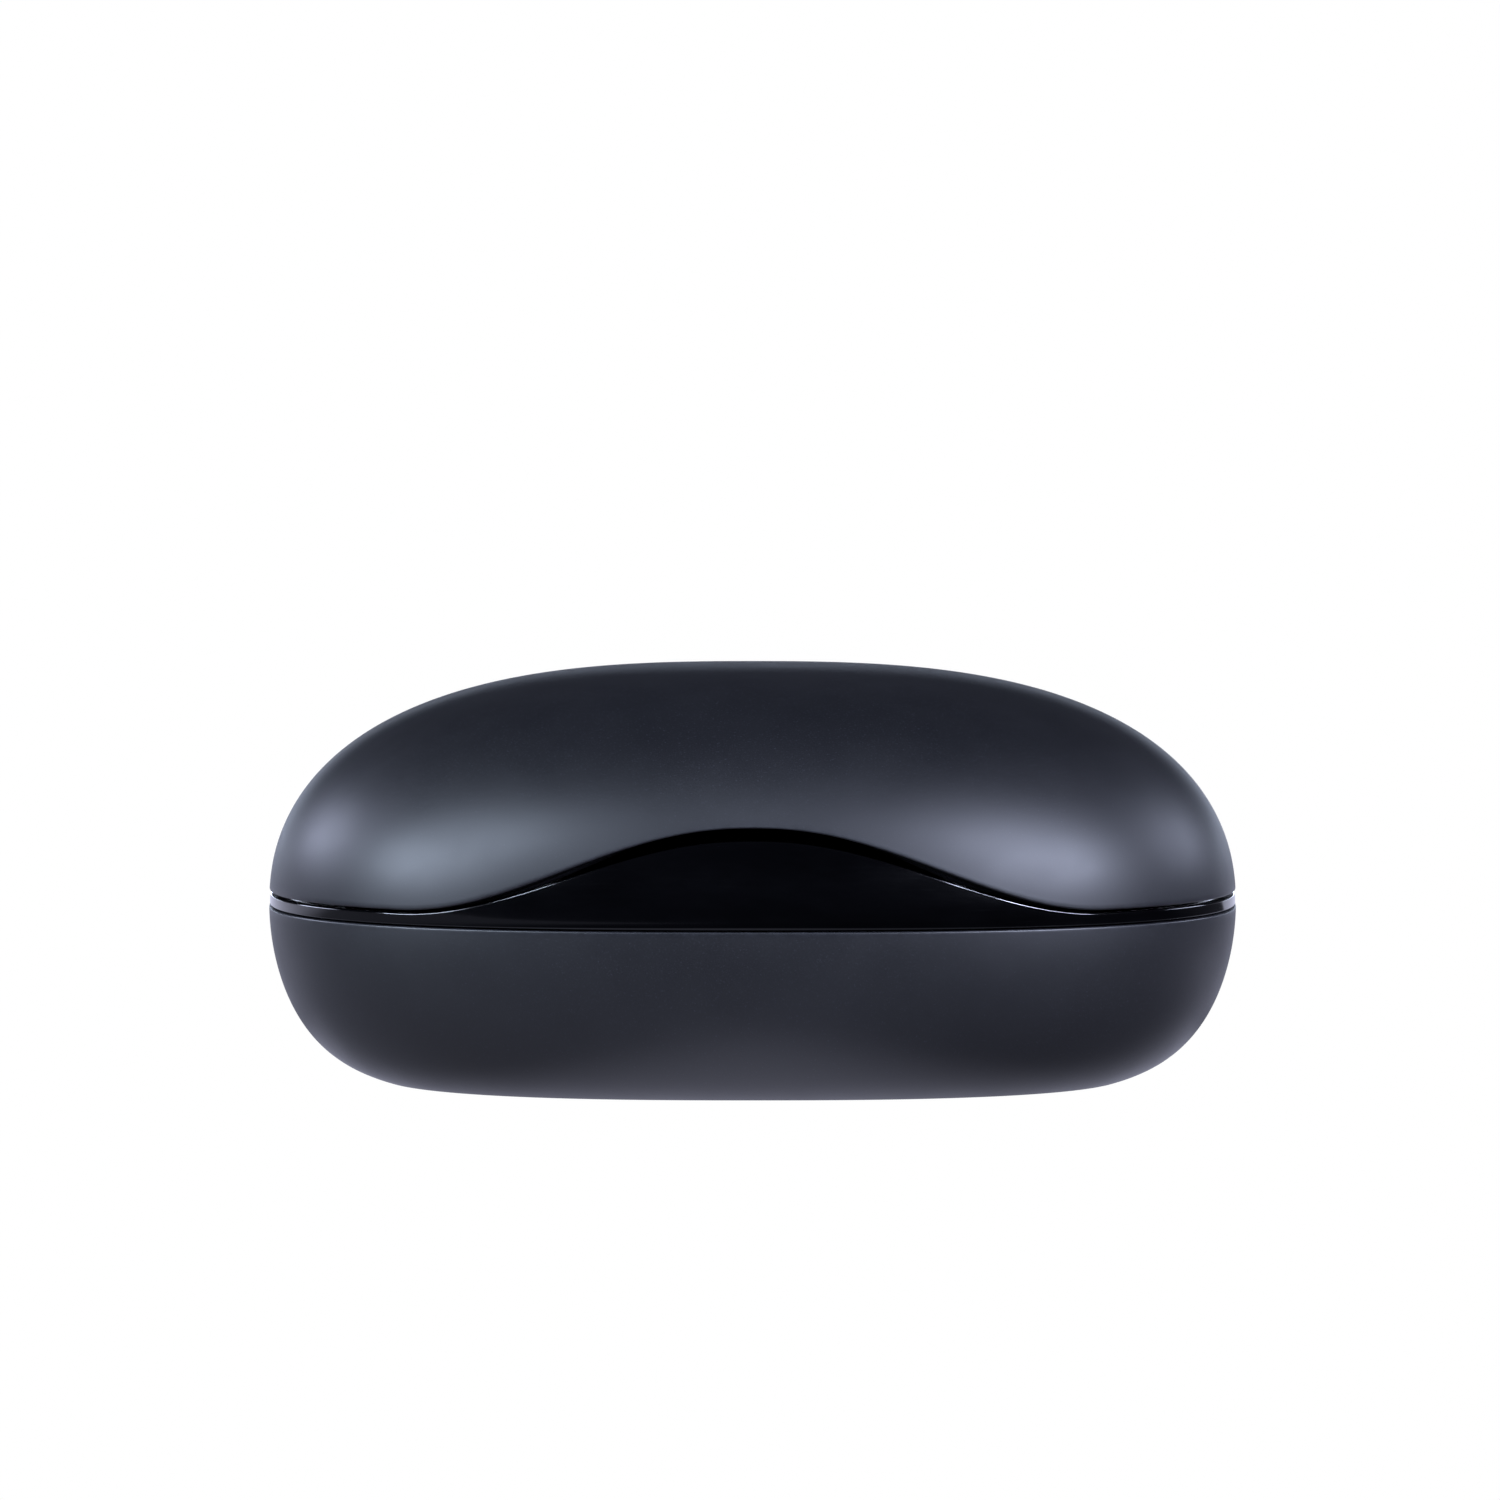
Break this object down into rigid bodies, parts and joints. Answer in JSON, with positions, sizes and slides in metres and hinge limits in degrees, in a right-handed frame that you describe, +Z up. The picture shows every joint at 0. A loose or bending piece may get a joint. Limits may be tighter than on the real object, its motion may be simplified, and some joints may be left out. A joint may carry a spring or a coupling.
{
  "type": "wireless earbuds charging case",
  "caption": "Pebble-shaped charging case for clip-on earbuds, with a rear-hinged lid, a glossy wave-shaped trim band, two shaped wells, sprung contacts and a USB-C port.",
  "frame": {"origin": "centre of the flat foot, under the middle of the closed case", "axes": "+X along the case's width, -Y to the front with the wave, +Z up"},
  "size_m": [0.071, 0.05, 0.0302],
  "materials": {
    "shell_paint": "satin dark blue-grey paint with a fine metallic flake",
    "band_gloss": "piano black, polished",
    "cradle_plastic": "fine-textured moulded black",
    "liner_plastic": "fine-textured moulded black",
    "hinge_steel": "stamped stainless steel, darkened",
    "pin_steel": "ground stainless rod",
    "spring_steel": "spring wire",
    "screw_zinc": "zinc plated",
    "magnet_nickel": "nickel plated",
    "cell_foil": "laminated foil pouch",
    "foam": "closed-cell foam",
    "lead_red": "silicone insulation",
    "plug_ivory": "moulded nylon",
    "circuit_board": "solder mask",
    "port_steel": "drawn stainless shell",
    "tongue_plastic": "moulded nylon",
    "gold_plate": "gold plated",
    "chip_resin": "moulded epoxy",
    "ferrite": "ferrite",
    "ceramic": "sintered ceramic",
    "flex_polyimide": "amber polyimide film",
    "switch_metal": "tinned cover",
    "switch_plastic": "moulded nylon",
    "button_plastic": "satin moulded black",
    "led_package": "white package",
    "light_pipe": "frosted acrylic",
    "block_plastic": "moulded nylon"
  },
  "bodies": {
    "base": {"base_shell": "shell_paint", "trim_band": "band_gloss", "cradle": "cradle_plastic", "hinge_bracket": "hinge_steel", "hinge_pin": "pin_steel", "hinge_spring_left": "spring_steel", "hinge_spring_right": "spring_steel", "bracket_screws": "screw_zinc", "latch_magnets_base": "magnet_nickel", "well_magnets_left": "magnet_nickel", "well_magnets_right": "magnet_nickel", "battery": "cell_foil", "battery_pad": "foam", "battery_leads": "lead_red", "battery_plug": "plug_ivory", "main_board": "circuit_board", "board_screws": "screw_zinc", "usb_shell": "port_steel", "usb_tongue": "tongue_plastic", "usb_contacts": "gold_plate", "charger_chip": "chip_resin", "controller_chip": "chip_resin", "power_inductor": "ferrite", "board_capacitors": "ceramic", "button_board": "circuit_board", "button_flex": "flex_polyimide", "switch_body": "switch_metal", "hall_sensor": "chip_resin", "status_leds": "led_package", "light_pipes": "light_pipe", "contact_block_left": "block_plastic", "contact_block_right": "block_plastic", "contact_flex_left": "flex_polyimide", "contact_flex_right": "flex_polyimide", "contact_barrels_left": "gold_plate", "contact_barrels_right": "gold_plate", "contact_spring_left_front": "spring_steel", "contact_spring_left_rear": "spring_steel", "contact_spring_right_front": "spring_steel", "contact_spring_right_rear": "spring_steel"},
    "lid": {"lid_shell": "shell_paint", "lid_liner": "liner_plastic", "hinge_leaf": "hinge_steel", "leaf_rivets": "hinge_steel", "latch_magnets_lid": "magnet_nickel"},
    "button": {"pairing_button": "button_plastic", "switch_plunger": "switch_plastic"},
    "contact_pin_left_front": {"contact_pin_left_front": "gold_plate"},
    "contact_pin_left_rear": {"contact_pin_left_rear": "gold_plate"},
    "contact_pin_right_front": {"contact_pin_right_front": "gold_plate"},
    "contact_pin_right_rear": {"contact_pin_right_rear": "gold_plate"}
  },
  "joints": [
    {"name": "lid_hinge", "type": "hinge", "parent": "base", "child": "lid", "pos_m": [0, 0.02345, 0.01325], "axis": [-1, 0, 0], "range_deg": [0, 95]},
    {"name": "button_press", "type": "slide", "parent": "base", "child": "button", "axis": [0, 0, -1], "range_m": [0, 0.00025], "stiffness_N_per_m": 600},
    {"name": "contact_pin_left_front_press", "type": "slide", "parent": "base", "child": "contact_pin_left_front", "axis": [0, 0, -1], "range_m": [0, 0.0004], "stiffness_N_per_m": 300, "deforming": ["contact_spring_left_front"]},
    {"name": "contact_pin_left_rear_press", "type": "slide", "parent": "base", "child": "contact_pin_left_rear", "axis": [0, 0, -1], "range_m": [0, 0.0004], "stiffness_N_per_m": 300, "deforming": ["contact_spring_left_rear"]},
    {"name": "contact_pin_right_front_press", "type": "slide", "parent": "base", "child": "contact_pin_right_front", "axis": [0, 0, -1], "range_m": [0, 0.0004], "stiffness_N_per_m": 300, "deforming": ["contact_spring_right_front"]},
    {"name": "contact_pin_right_rear_press", "type": "slide", "parent": "base", "child": "contact_pin_right_rear", "axis": [0, 0, -1], "range_m": [0, 0.0004], "stiffness_N_per_m": 300, "deforming": ["contact_spring_right_rear"]}
  ]
}
